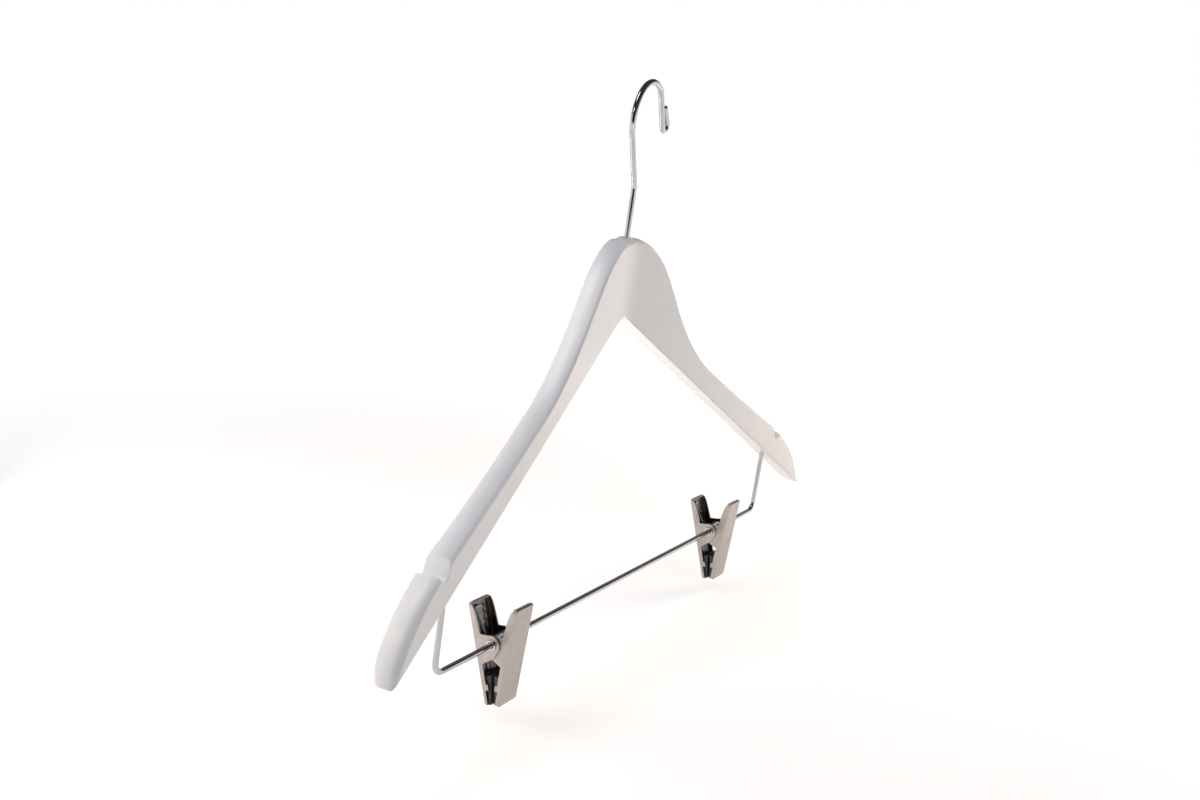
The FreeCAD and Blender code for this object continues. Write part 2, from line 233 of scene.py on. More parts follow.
class Graph:
    """One material's nodes, ending in a Principled shader."""

    def __init__(self, name: str, **constants: object) -> None:
        """Start a material.

        Args:
            name: the material's name.
            constants: values for the shader's sockets, with underscores for spaces.
        """
        self.material = bpy.data.materials.new(name)
        self.material.use_nodes = True
        self.tree = self.material.node_tree
        self.shader = self.tree.nodes["Principled BSDF"]
        for socket, value in constants.items():
            self.shader.inputs[socket.replace("_", " ")].default_value = value

    def node(self, kind: str, settings: dict | None = None, inputs: dict | None = None,
             output: int | str = 0) -> Value:
        """Add a node.

        Args:
            kind: the node's type.
            settings: its properties.
            inputs: values or links by socket name or number.
            output: the socket to return.

        Returns:
            The output as a value.
        """
        node = self.tree.nodes.new(kind)
        for key, value in (settings or {}).items():
            setattr(node, key, value)
        for key, value in (inputs or {}).items():
            self.feed(node.inputs[key], value)
        return Value(self, node.outputs[output])

    def feed(self, socket: bpy.types.NodeSocket, value: object) -> None:
        """Link a value to a socket, or set a constant on it."""
        if isinstance(value, Value):
            self.tree.links.new(value.socket, socket)
        else:
            socket.default_value = value

    def set(self, **values: object) -> None:
        """Feed the shader's sockets, named with underscores for spaces."""
        for socket, value in values.items():
            self.feed(self.shader.inputs[socket.replace("_", " ")], value)

    def place(self) -> list[Value]:
        """Object coordinates, in metres, as x, y and z."""
        vector = self.node("ShaderNodeTexCoord", output="Object")
        return [self.node("ShaderNodeSeparateXYZ", None, {0: vector}, axis) for axis in range(3)]

    def noise(self, x: Value, y: Value, z: Value, detail: float) -> Value:
        """Noise of unit grain at coordinates that are already scaled."""
        vector = self.node("ShaderNodeCombineXYZ", None, {0: x, 1: y, 2: z})
        return self.node("ShaderNodeTexNoise", None, {"Vector": vector, "Scale": 1.0, "Detail": detail})

    def grains(self, spot: Sequence[Value], size: float, detail: float) -> Value:
        """Noise of even grain.

        Args:
            spot: x, y and z in metres.
            size: size of a grain.
            detail: octaves of finer grain.

        Returns:
            The noise, about a half.
        """
        return self.noise(*(axis * (1 / size) for axis in spot), detail)

    def tint(self, mask: Value, low: "Value | Sequence[float]", high: Sequence[float]) -> Value:
        """Blend of two colours by a mask; the first may be a link."""
        low = low if isinstance(low, Value) else (*low, 1.0)
        colours = {"Factor": mask, 6: low, 7: (*high, 1.0)}
        return self.node("ShaderNodeMix", {"data_type": "RGBA"}, colours, 2)

    def bump(self, height: Value, depth: float, strength: float) -> Value:
        """Normal that follows a height of 0 to 1, over a depth in metres."""
        inputs = {"Height": height, "Distance": depth, "Strength": strength}
        return self.node("ShaderNodeBump", None, inputs)


@dataclass(frozen=True)
class SatinPaint:
    """White satin paint over wood: faint grain, a little orange peel, and dull hollows."""

    warm: tuple = (0.80, 0.785, 0.775)
    cool: tuple = (0.765, 0.77, 0.785)
    slope: float = math.radians(30.7)
    grain_length: float = 0.028
    grain_width: float = 0.0011
    peel: float = 0.0016
    cloud: float = 0.045
    cloud_ends: tuple = (0.3, 0.7)
    roughness: float = 0.30
    cloud_roughness: float = 0.10
    grain_roughness: float = 0.08
    index: float = 1.48
    coat: float = 0.55
    grain_coat: float = 0.1
    coat_roughness: float = 0.2
    grain_share: float = 0.55
    relief: float = 0.00003
    relief_strength: float = 0.7

    def material(self) -> bpy.types.Material:
        """Build the material.

        Returns:
            Paint whose grain runs along both arms.
        """
        graph = Graph("satin_white_paint", IOR=self.index, Coat_Roughness=self.coat_roughness)
        x, y, z = spot = graph.place()
        arm = abs(x)
        along = arm * math.cos(self.slope) - z * math.sin(self.slope)
        across = arm * math.sin(self.slope) + z * math.cos(self.slope)
        width = 1 / self.grain_width
        grain = graph.noise(along * (1 / self.grain_length), y * width, across * width, detail=4.0)
        peel = graph.grains(spot, self.peel, detail=1.0)
        cloud = graph.grains(spot, self.cloud, detail=2.0)
        graph.set(Base_Color=graph.tint(cloud.step(*self.cloud_ends), self.warm, self.cool))
        graph.set(Roughness=cloud * self.cloud_roughness + grain * self.grain_roughness + self.roughness)
        graph.set(Coat_Weight=self.coat - grain * self.grain_coat)
        height = grain * self.grain_share + peel * (1 - self.grain_share)
        graph.set(Normal=graph.bump(height, self.relief, self.relief_strength))
        return graph.material


@dataclass(frozen=True)
class PlatedWire:
    """Bright plated wire with faint draw marks."""

    name: str = "bright_plating"
    colour: tuple = (0.53, 0.53, 0.535)
    shade: tuple = (0.45, 0.45, 0.46)
    roughness: float = 0.07
    mark: float = 0.0009
    haze_marks: float = 24.0
    haze_ends: tuple = (0.25, 0.8)
    mark_roughness: float = 0.05
    haze_roughness: float = 0.06
    relief: float = 0.00001
    relief_strength: float = 0.05

    def material(self) -> bpy.types.Material:
        """Build the material."""
        graph = Graph(self.name, Metallic=1.0)
        spot = graph.place()
        marks = graph.grains(spot, self.mark, detail=3.0)
        haze = graph.grains(spot, self.mark * self.haze_marks, detail=2.0)
        graph.set(Base_Color=graph.tint(haze.step(*self.haze_ends), self.colour, self.shade))
        graph.set(Roughness=marks * self.mark_roughness + haze * self.haze_roughness + self.roughness)
        graph.set(Normal=graph.bump(marks, self.relief, self.relief_strength))
        return graph.material


@dataclass(frozen=True)
class BrushedPlate:
    """Nickel-plated sheet, brushed along the clip outside; the faces inside are darkened with painted shade."""

    colour: tuple = (0.52, 0.465, 0.44)
    shade: tuple = (0.415, 0.37, 0.345)
    # Painted shade: the dark colour of the plate's faces that look towards the pivot.
    inside: tuple = (0.20, 0.187, 0.175)
    stroke: float = 0.012
    line: float = 0.00022
    line_depth: float = 12.0
    spot: float = 0.006
    stroke_ends: tuple = (0.25, 0.75)
    stroke_share: float = 0.7
    roughness: float = 0.24
    stroke_roughness: float = 0.16
    spot_roughness: float = 0.08
    inside_polish: float = 0.06
    relief: float = 0.00002
    relief_strength: float = 0.5

    def material(self) -> bpy.types.Material:
        """Build the material."""
        graph = Graph("brushed_nickel", Metallic=1.0)
        x, y, z = graph.place()
        line = 1 / self.line
        strokes = graph.noise(x * line, y * (line / self.line_depth), z * (1 / self.stroke), detail=4.0)
        spots = graph.grains((x, y, z), self.spot, detail=2.0)
        mask = strokes.step(*self.stroke_ends) * self.stroke_share + spots * (1 - self.stroke_share)
        # The inside mark paints shade: those faces take the dark inside colour in place of the brushed tones.
        inside = graph.node("ShaderNodeAttribute", {"attribute_name": "inside"}, output="Fac")
        graph.set(Base_Color=graph.tint(inside, graph.tint(mask, self.colour, self.shade), self.inside))
        rough = strokes * self.stroke_roughness + spots * self.spot_roughness + self.roughness
        graph.set(Roughness=rough - inside * self.inside_polish)
        graph.set(Normal=graph.bump(strokes, self.relief, self.relief_strength))
        return graph.material


@dataclass(frozen=True)
class MouldedGrip:
    """Black moulded plastic with a fine spark finish."""

    colour: tuple = (0.016, 0.0165, 0.019)
    worn: tuple = (0.034, 0.034, 0.037)
    grain: float = 0.00035
    haze_grains: float = 12.0
    haze_ends: tuple = (0.3, 0.75)
    roughness: float = 0.38
    grain_roughness: float = 0.2
    relief: float = 0.00003
    relief_strength: float = 0.5

    def material(self) -> bpy.types.Material:
        """Build the material."""
        graph = Graph("black_grip")
        spot = graph.place()
        grain = graph.grains(spot, self.grain, detail=2.0)
        haze = graph.grains(spot, self.grain * self.haze_grains, detail=2.0)
        graph.set(Base_Color=graph.tint(haze.step(*self.haze_ends), self.colour, self.worn))
        graph.set(Roughness=grain * self.grain_roughness + self.roughness)
        graph.set(Normal=graph.bump(grain, self.relief, self.relief_strength))
        return graph.material


# Mesh helpers


def start_clean() -> None:
    if bpy.context.mode != "OBJECT":
        bpy.ops.object.mode_set(mode="OBJECT")
    bpy.ops.object.select_all(action="DESELECT")


def pick(piece: bpy.types.Object) -> None:
    """Select one piece and make it active."""
    start_clean()
    piece.select_set(True)
    bpy.context.view_layer.objects.active = piece


def turn_out(piece: bpy.types.Object, close: bool = False) -> None:
    """Turn a piece's faces outwards, with its seam welded and its ends filled first if it is to close."""
    pick(piece)
    bpy.ops.object.mode_set(mode="EDIT")
    bpy.ops.mesh.select_mode(type="FACE")
    bpy.ops.mesh.select_all(action="SELECT")
    if close:
        bpy.ops.mesh.remove_doubles(threshold=WELD)
        bpy.ops.mesh.fill_holes(sides=0)
        bpy.ops.mesh.select_all(action="SELECT")
    bpy.ops.mesh.normals_make_consistent(inside=False)
    bpy.ops.object.mode_set(mode="OBJECT")


def patch(name: str, rows: int, columns: int, place: Place, closed: bool) -> bpy.types.Object:
    """Add a grid and bring each of its points to its place.

    Args:
        name: the piece's name.
        rows: points along the piece.
        columns: points across it, or round it where the last meets the first.
        place: gives the point at a row and column.
        closed: whether open ends are filled and the faces turned outwards.

    Returns:
        The piece, with its place in its mesh.
    """
    start_clean()
    bpy.ops.mesh.primitive_grid_add(x_subdivisions=columns - 1, y_subdivisions=rows - 1, size=1.0)
    piece = bpy.context.object
    piece.name = piece.data.name = name
    spots = [place(row, column) for row in range(rows) for column in range(columns)]
    piece.data.vertices.foreach_set("co", [number for spot in spots for number in spot])
    if closed:
        turn_out(piece, close=True)
    piece.data.update()
    return piece


def apply(piece: bpy.types.Object, kind: str, **settings: object) -> None:
    """Add a modifier, set it and apply it."""
    pick(piece)
    modifier = piece.modifiers.new(kind.title(), kind)
    for key, value in settings.items():
        setattr(modifier, key, value)
    bpy.ops.object.modifier_apply(modifier=modifier.name)


def drill(piece: bpy.types.Object, start: Vector, end: Vector, radius: float) -> None:
    """Cut a round hole from start to end."""
    run = end - start
    start_clean()
    bpy.ops.mesh.primitive_cylinder_add(vertices=ROUND, radius=radius, depth=run.length)
    cutter = bpy.context.object
    turn = run.to_track_quat("Z", "Y").to_matrix().to_4x4()
    cutter.data.transform(Matrix.Translation((start + end) / 2) @ turn)
    apply(piece, "BOOLEAN", operation="DIFFERENCE", solver="EXACT", object=cutter)
    bpy.data.objects.remove(cutter)


def ease(piece: bpy.types.Object, width: float, degrees: float) -> None:
    """Bevel the edges that turn by more than an angle."""
    apply(piece, "BEVEL", width=width, segments=2, limit_method="ANGLE", angle_limit=math.radians(degrees))


def smooth(piece: bpy.types.Object, degrees: float) -> None:
    """Shade smooth, with sharper edges kept."""
    pick(piece)
    bpy.ops.object.shade_smooth_by_angle(angle=math.radians(degrees))


def tube(name: str, path: Sequence[Vector], radius: float, ring: int,
         round_end: bool = False) -> bpy.types.Object:
    """Sweep a round wire along points.

    Args:
        name: the piece's name.
        path: closely spaced points on the wire's middle.
        radius: the wire's radius.
        ring: steps of the round section.
        round_end: whether the last end is a half ball.

    Returns:
        The wire as a mesh.
    """
    points = [(spot, 1.0) for spot in path]
    if round_end:
        heading = (path[-1] - path[-2]).normalized()
        for step in range(1, ring + 1):
            turn = math.pi / 2 * step / ring
            points.append((path[-1] + heading * radius * math.sin(turn), max(LEAST_TIP, math.cos(turn))))
    start_clean()
    bpy.ops.curve.primitive_bezier_curve_add()
    piece = bpy.context.object
    piece.name = name
    curve = piece.data
    curve.splines.clear()
    spline = curve.splines.new("POLY")
    spline.points.add(len(points) - 1)
    for point, (spot, share) in zip(spline.points, points):
        point.co = (*spot, 1.0)
        point.radius = share
    curve.bevel_depth = radius
    curve.bevel_resolution = ring
    curve.use_fill_caps = True
    bpy.ops.object.convert(target="MESH")
    piece = bpy.context.object
    piece.data.name = name
    smooth(piece, degrees=50.0)
    return piece


def arc(centre: Vector, first: Vector, second: Vector, start: float, end: float, steps: int) -> list[Vector]:
    """Points on an arc.

    Args:
        centre: the arc's centre.
        first: radius vector at angle 0.
        second: radius vector at a quarter turn.
        start: first angle.
        end: last angle.
        steps: pieces that the arc has.

    Returns:
        Points with both ends among them.
    """
    turns = [start + (end - start) * step / steps for step in range(steps + 1)]
    return [centre + first * math.cos(turn) + second * math.sin(turn) for turn in turns]


def spread(start: Vector, end: Vector, steps: int) -> list[Vector]:
    """Points on a straight run, with both ends among them."""
    return [start.lerp(end, step / steps) for step in range(steps + 1)]


def dress(piece: bpy.types.Object, material: bpy.types.Material, body: str, slot: str, *nodes: str,
          towards: tuple | None = None) -> None:
    """Give a piece its finish and its place in the frame.

    Args:
        piece: the piece.
        material: its finish.
        body: the body that it rides on.
        slot: the record's material slot.
        nodes: the CAD nodes that it stands for.
        towards: for a piece that twists, the second body, and the points where the twist starts and ends.
    """
    piece.data.materials.clear()
    piece.data.materials.append(material)
    if towards:
        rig.blend(piece, body, *towards)
    else:
        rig.ride(piece, body)
    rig.slot(piece, slot)
    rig.replaces(piece, *nodes)
    log.info("%s: %d faces on %s", piece.name, len(piece.data.polygons), body)


def blend_rows(rows: Sequence[tuple[float, float]], place: float) -> float:
    """Smooth curve through rows of (place, height).

    Args:
        rows: the rows, in order of place.
        place: where the height is wanted.

    Returns:
        The height, on a cubic whose slopes come from the neighbouring rows.
    """
    last = len(rows) - 1
    index = max(0, min(last - 1, sum(1 for row in rows if row[0] <= place) - 1))

    def slope(at: int) -> float:
        """Slope of the curve at a row."""
        low, high = rows[max(0, at - 1)], rows[min(last, at + 1)]
        return 0.0 if at == 0 else (high[1] - low[1]) / (high[0] - low[0])

    (x0, y0), (x1, y1) = rows[index], rows[index + 1]
    gap = x1 - x0
    t = max(0.0, min(1.0, (place - x0) / gap))
    ends = y0 * (1 + 2 * t) * (1 - t) ** 2 + y1 * t * t * (3 - 2 * t)
    return ends + gap * (slope(index) * t * (1 - t) ** 2 - slope(index + 1) * t * t * (1 - t))


# The board


@dataclass
class Board:
    """The contoured board: two glued arms under one coat of paint."""

    paint: bpy.types.Material
    thickness: float = 0.012
    sweep: float = math.radians(9.5)
    bend_radius: float = 0.066
    slope: float = math.radians(30.6)
    head_height: float = 0.043
    bush_set: float = 0.006
    crotch_round: float = 0.0012
    front_end: float = 0.0025
    back_end: float = 0.0064
    end_lift: float = 0.0005
    end_reach: float = 0.0003
    back_swell: float = 0.0014
    swell_run: tuple = (0.150, 0.205)
    lower_round: float = 0.0008
    crown: float = 0.0009
    crown_head: float = 0.0004
    crown_head_run: float = 0.050
    crown_tip: float = 0.0006
    crown_least: float = 0.0001
    crown_height_share: float = 0.2
    least_height: float = 0.0002
    front_edge: float = 0.0018
    back_edge: float = 0.0008
    front_tip_edge: float = 0.0028
    back_tip_edge: float = 0.0010
    notch_edge: float = 0.0005
    edge_half_share: float = 0.9
    corner_height_share: float = 0.25
    corner_half_share: float = 0.6
    tip_run: float = 0.030
    near_notch: float = 0.1864
    far_notch: float = 0.1848
    notch_radius: float = 0.0031
    notch_depth: float = 0.0060
    notch_lean: float = math.radians(16.0)
    notch_rise: float = math.radians(74.0)
    notch_soft: float = 0.0006
    outer_soft: float = 0.0018
    notch_fade: float = 0.0030
    step: float = 0.0028
    head_step: float = 0.0008
    head_run: float = 0.014
    notch_step: float = 0.00016
    notch_run: tuple = (0.178, 0.192)
    tip_step: float = 0.0007
    end_step: float = 0.00004
    end_step_share: float = 0.05
    end_run: float = 0.0055
    overrun: float = 0.001
    clear: float = 0.01
    stem_hole: float = 0.00195
    bush_hole: float = 0.00301
    leg_hole: float = 0.00151
    top_shares: tuple = (
        (0.000, 1.000), (0.045, 1.108), (0.095, 1.153), (0.146, 1.096), (0.195, 0.922), (0.242, 0.721),
        (0.299, 0.543), (0.383, 0.414), (0.478, 0.410), (0.597, 0.434), (0.717, 0.472), (0.812, 0.498),
        (0.844, 0.486), (0.876, 0.478), (0.903, 0.457), (0.925, 0.428), (0.942, 0.384), (0.956, 0.332),
        (0.968, 0.275), (0.978, 0.214), (0.987, 0.152), (0.994, 0.098), (1.000, 0.045),
    )
    half_width: float = field(init=False)
    head_top: float = field(init=False)
    crotch: float = field(init=False)

    def __post_init__(self) -> None:
        """Take the reach and the head's height from the frame."""
        self.half_width = -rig.box("left_arm")[0][0] - self.end_reach
        self.head_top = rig.box("hook_bush")[1][2] + self.bush_set
        self.crotch = self.head_top - self.head_height

    def lower(self, x: float) -> float:
        """Height of the lower edge, with its soft crotch."""
        rounding = self.crotch_round
        return self.crotch - math.tan(self.slope) * (math.hypot(x, rounding) - rounding)

    def upper(self, x: float) -> float:
        """Height of the top outline before the notch is cut."""
        share = abs(x) / self.half_width
        height = blend_rows(self.top_shares, share) * self.head_height
        return self.crotch - math.tan(self.slope) * abs(x) + height

    def notch_middle(self, x: float) -> float:
        """Reach of the notch on the arm that x lies on."""
        return self.far_notch if x > 0 else self.near_notch

    def notch(self, x: float) -> float:
        """Height of the strap notch's cut, well above the board away from it."""
        middle = self.notch_middle(x)
        away = abs(x) - middle
        radius = self.notch_radius
        centre = self.upper(middle) - self.notch_depth + radius
        inner = -radius * math.cos(self.notch_lean)
        outer = radius * math.sin(self.notch_rise)
        if away < inner:
            return centre - radius * math.sin(self.notch_lean) + (inner - away) / math.tan(self.notch_lean)
        if away > outer:
            return centre - radius * math.cos(self.notch_rise) + (away - outer) * math.tan(self.notch_rise)
        return centre - math.sqrt(radius ** 2 - away ** 2)

    def top(self, x: float) -> tuple[float, float]:
        """Height of the top with the notch in it, and the notch's share there."""
        plain, cut = self.upper(x), self.notch(x)
        soft = self.notch_soft if abs(x) < self.notch_middle(x) else self.outer_soft
        near = max(0.0, soft - abs(plain - cut)) / soft
        high = min(plain, cut) - near * near * soft / 4
        return high, min(1.0, max(0.0, plain - high) / self.notch_fade)

    def stations(self) -> list[float]:
        """Places of the rings along the right arm, close where the shape turns."""
        places = [0.0]
        while places[-1] < self.half_width:
            x = places[-1]
            to_end = self.half_width - x
            step = self.step
            if x < self.head_run:
                step = self.head_step
            elif self.notch_run[0] < x < self.notch_run[1]:
                step = self.notch_step
            elif to_end < self.end_run:
                step = max(self.end_step, to_end * self.end_step_share)
            elif to_end < self.tip_run:
                step = self.tip_step
            places.append(x + step)
        places[-1] = self.half_width
        return places

    def ring(self, x: float) -> list[Vector]:
        """Outline across the board.

        Args:
            x: place along the hanger.

        Returns:
            Points from the middle of the top down the front, under and up the back.
        """
        reach = abs(x)
        turn = min(math.asin(min(1.0, reach / self.bend_radius)), self.sweep)
        y = self.bend_radius * (math.cos(turn) - 1)
        if turn == self.sweep:
            y -= (reach - self.bend_radius * math.sin(self.sweep)) * math.tan(self.sweep)
        across = Vector((math.copysign(math.sin(turn), x), math.cos(turn), 0.0))
        high, cut = self.top(x)
        low = self.lower(x)
        to_end = self.half_width - reach
        low += self.round_in(to_end, self.end_lift)
        height = max(high - low, self.least_height)
        tip = max(0.0, 1 - to_end / self.tip_run)
        head = max(0.0, 1 - reach / self.crown_head_run)
        crown = self.crown + self.crown_head * head + self.crown_tip * tip
        crown = min(crown * (1 - cut) + self.crown_least, height * self.crown_height_share)
        run = (reach - self.swell_run[0]) / (self.swell_run[1] - self.swell_run[0])
        run = max(0.0, min(1.0, run))
        swell = self.back_swell * run * run * (3 - 2 * run)
        outline = []
        sides = ((-1, self.front_end, self.front_edge, self.front_tip_edge, 0.0),
                 (1, self.back_end, self.back_edge, self.back_tip_edge, swell))
        for sign, end, edge, tip_edge, extra in sides:
            half = self.thickness / 2 + extra - self.round_in(to_end, end)
            edge = edge * (1 - cut) + self.notch_edge * cut + tip_edge * tip
            wide = min(edge, half * self.edge_half_share)
            corner = min(self.lower_round, height * self.corner_height_share, half * self.corner_half_share)
            deep = min(edge, height - crown - corner)
            side = self.section(half, height, crown, wide, deep, corner)
            outline += [(sign * out, rise) for out, rise in (side if sign < 0 else side[-2::-1])]
        middle = Vector((x, y, low))
        return [middle + across * side + UP * rise for side, rise in outline]

    @staticmethod
    def round_in(to_end: float, radius: float) -> float:
        """How far a quarter round pulls in at a distance from the arm's end."""
        inside = max(0.0, 1 - to_end / radius)
        return radius * (1 - math.sqrt(max(0.0, 1 - inside * inside)))

    @staticmethod
    def section(half: float, height: float, crown: float, wide: float, deep: float,
                corner: float) -> list[tuple[float, float]]:
        """One side of a ring's outline.

        Args:
            half: reach of this side from the middle.
            height: full height.
            crown: rise of the top's middle over its sides.
            wide: reach across of the round where the top meets the side.
            deep: reach down of that round.
            corner: round at the underside.

        Returns:
            (side, rise) pairs from the middle of the top to the middle of the underside.
        """
        top_steps, edge_steps, face_steps, corner_steps, under_steps = 8, 10, 9, 7, 4
        flat = half - wide
        side = []
        for step in range(top_steps + 1):
            x = flat * step / top_steps
            side.append((x, height - crown * (x / half) ** 2))
        for step in range(1, edge_steps + 1):
            turn = math.pi / 2 * step / edge_steps
            x = flat + wide * math.sin(turn)
            side.append((x, height - crown * (x / half) ** 2 - deep * (1 - math.cos(turn))))
        top = side[-1][1]
        side += [(half, top + (corner - top) * step / face_steps) for step in range(1, face_steps + 1)]
        for step in range(1, corner_steps + 1):
            turn = math.pi / 2 * step / corner_steps
            side.append((half - corner + corner * math.cos(turn), corner - corner * math.sin(turn)))
        under = half - corner
        return side + [(under * (1 - step / under_steps), 0.0) for step in range(1, under_steps + 1)]

    def build(self) -> None:
        """Loft the board, drill it and dress it."""
        right = self.stations()
        places = [-x for x in reversed(right[1:])] + right
        rings = [self.ring(x) for x in places]
        board = patch("painted_board", len(rings), len(rings[0]), lambda row, spot: rings[row][spot], True)
        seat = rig.box("hook_bush")[1][2]
        drill(board, UP * (seat - self.overrun), UP * (self.head_top + self.clear), self.stem_hole)
        drill(board, UP * (self.crotch - self.clear), UP * seat, self.bush_hole)
        low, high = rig.box("clip_bar")
        inset = (high[1] - low[1]) / 2
        for x in (low[0] + inset, high[0] - inset):
            y = (low[1] + high[1]) / 2
            drill(board, Vector((x, y, low[2])), Vector((x, y, high[2] + self.overrun)), self.leg_hole)
        smooth(board, degrees=40.0)
        dress(board, self.paint, "board", "white_wood", "left_arm", "right_arm")


# Bent wire


@dataclass
class Hook:
    """The swivel hook: stem, kink, bow and a hairpin at the end."""

    plating: bpy.types.Material
    radius: float = 0.00165
    bow: float = 0.020
    bow_offset: float = 0.0053
    bow_rise: float = 0.0350
    kink: float = 0.005
    nose_start: float = math.radians(60.0)
    nose: float = 0.009
    bow_end: float = math.radians(27.0)
    end_run: float = 0.0193
    hairpin: float = 0.0030
    return_run: float = 0.0088
    return_lean: float = math.radians(15.0)
    turn: float = math.radians(6.0)

    def path(self) -> list[Vector]:
        """Middle of the wire from its foot to its free end, in the hook's own plane."""
        height = -math.sqrt((self.bow - self.radius) ** 2 - self.bow_offset ** 2)
        centre = RIGHT * self.bow_offset + UP * height
        kink = UP * (height - self.bow_rise)
        to_centre = centre - kink
        lean = math.atan2(to_centre.z, to_centre.x) + math.asin(self.bow / to_centre.length)
        rise = RIGHT * math.cos(lean) + UP * math.sin(lean)
        bend = lean - math.pi / 2
        trim = self.kink * math.tan(bend / 2)
        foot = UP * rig.box("hook")[0][2]
        start = kink + rise * math.sqrt(to_centre.length ** 2 - self.bow ** 2)
        to_nose = RIGHT * math.cos(self.nose_start) + UP * math.sin(self.nose_start)
        nose = centre + to_nose * (self.bow - self.nose)
        out = RIGHT * math.cos(self.bow_end) + UP * math.sin(self.bow_end)
        down = RIGHT * math.sin(self.bow_end) - UP * math.cos(self.bow_end)
        end = nose + out * self.nose
        low = end + down * self.end_run
        points = spread(foot, kink - UP * trim, steps=12)
        inside = kink - UP * trim - RIGHT * self.kink
        points += arc(inside, RIGHT * self.kink, UP * self.kink, 0.0, bend, steps=10)[1:]
        points += spread(points[-1], start, steps=8)[1:]
        first = lean + math.pi / 2
        points += arc(centre, RIGHT * self.bow, UP * self.bow, first, self.nose_start, steps=180)[1:]
        points += arc(nose, RIGHT * self.nose, UP * self.nose, self.nose_start, self.bow_end, steps=40)[1:]
        points += spread(end, low, steps=8)[1:]
        turn, loop = math.pi + self.return_lean, low + out * self.hairpin
        points += arc(loop, -out * self.hairpin, down * self.hairpin, 0.0, turn, steps=22)[1:]
        back = (points[-1] - points[-2]).normalized()
        return points + spread(points[-1], points[-1] + back * self.return_run, steps=6)[1:]

    def build(self) -> None:
        """Sweep the wire, turn it out of the board's plane and dress it."""
        wire = tube("swivel_hook", self.path(), self.radius, round_end=True, ring=10)
        wire.data.transform(Matrix.Rotation(self.turn, 4, "Z"))
        dress(wire, self.plating, "hook", "chrome_wire", "hook")


@dataclass
class ClipBar:
    """The wire bar below the arms, with its two legs."""

    plating: bpy.types.Material
    radius: float = 0.0015
    corner: float = 0.006

    def build(self) -> None:
        """Sweep the wire between the places of the CAD bar and dress it."""
        low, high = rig.box("clip_bar")
        y = (low[1] + high[1]) / 2
        left_leg = Vector((low[0] + self.radius, y, high[2]))
        right_leg = Vector((high[0] - self.radius, y, high[2]))
        base = low[2] + self.radius
        level = base + self.corner
        left_turn = Vector((left_leg.x + self.corner, y, level))
        right_turn = Vector((right_leg.x - self.corner, y, level))
        points = spread(left_leg, Vector((left_leg.x, y, level)), steps=10)
        points += arc(left_turn, -RIGHT * self.corner, -UP * self.corner, 0.0, math.pi / 2, steps=16)[1:]
        points += spread(points[-1], Vector((right_turn.x, y, base)), steps=40)[1:]
        points += arc(right_turn, -UP * self.corner, RIGHT * self.corner, 0.0, math.pi / 2, steps=16)[1:]
        points += spread(points[-1], right_leg, steps=10)[1:]
        wire = tube("clip_bar_wire", points, self.radius, ring=10)
        dress(wire, self.plating, "board", "chrome_wire", "clip_bar")


# The clips


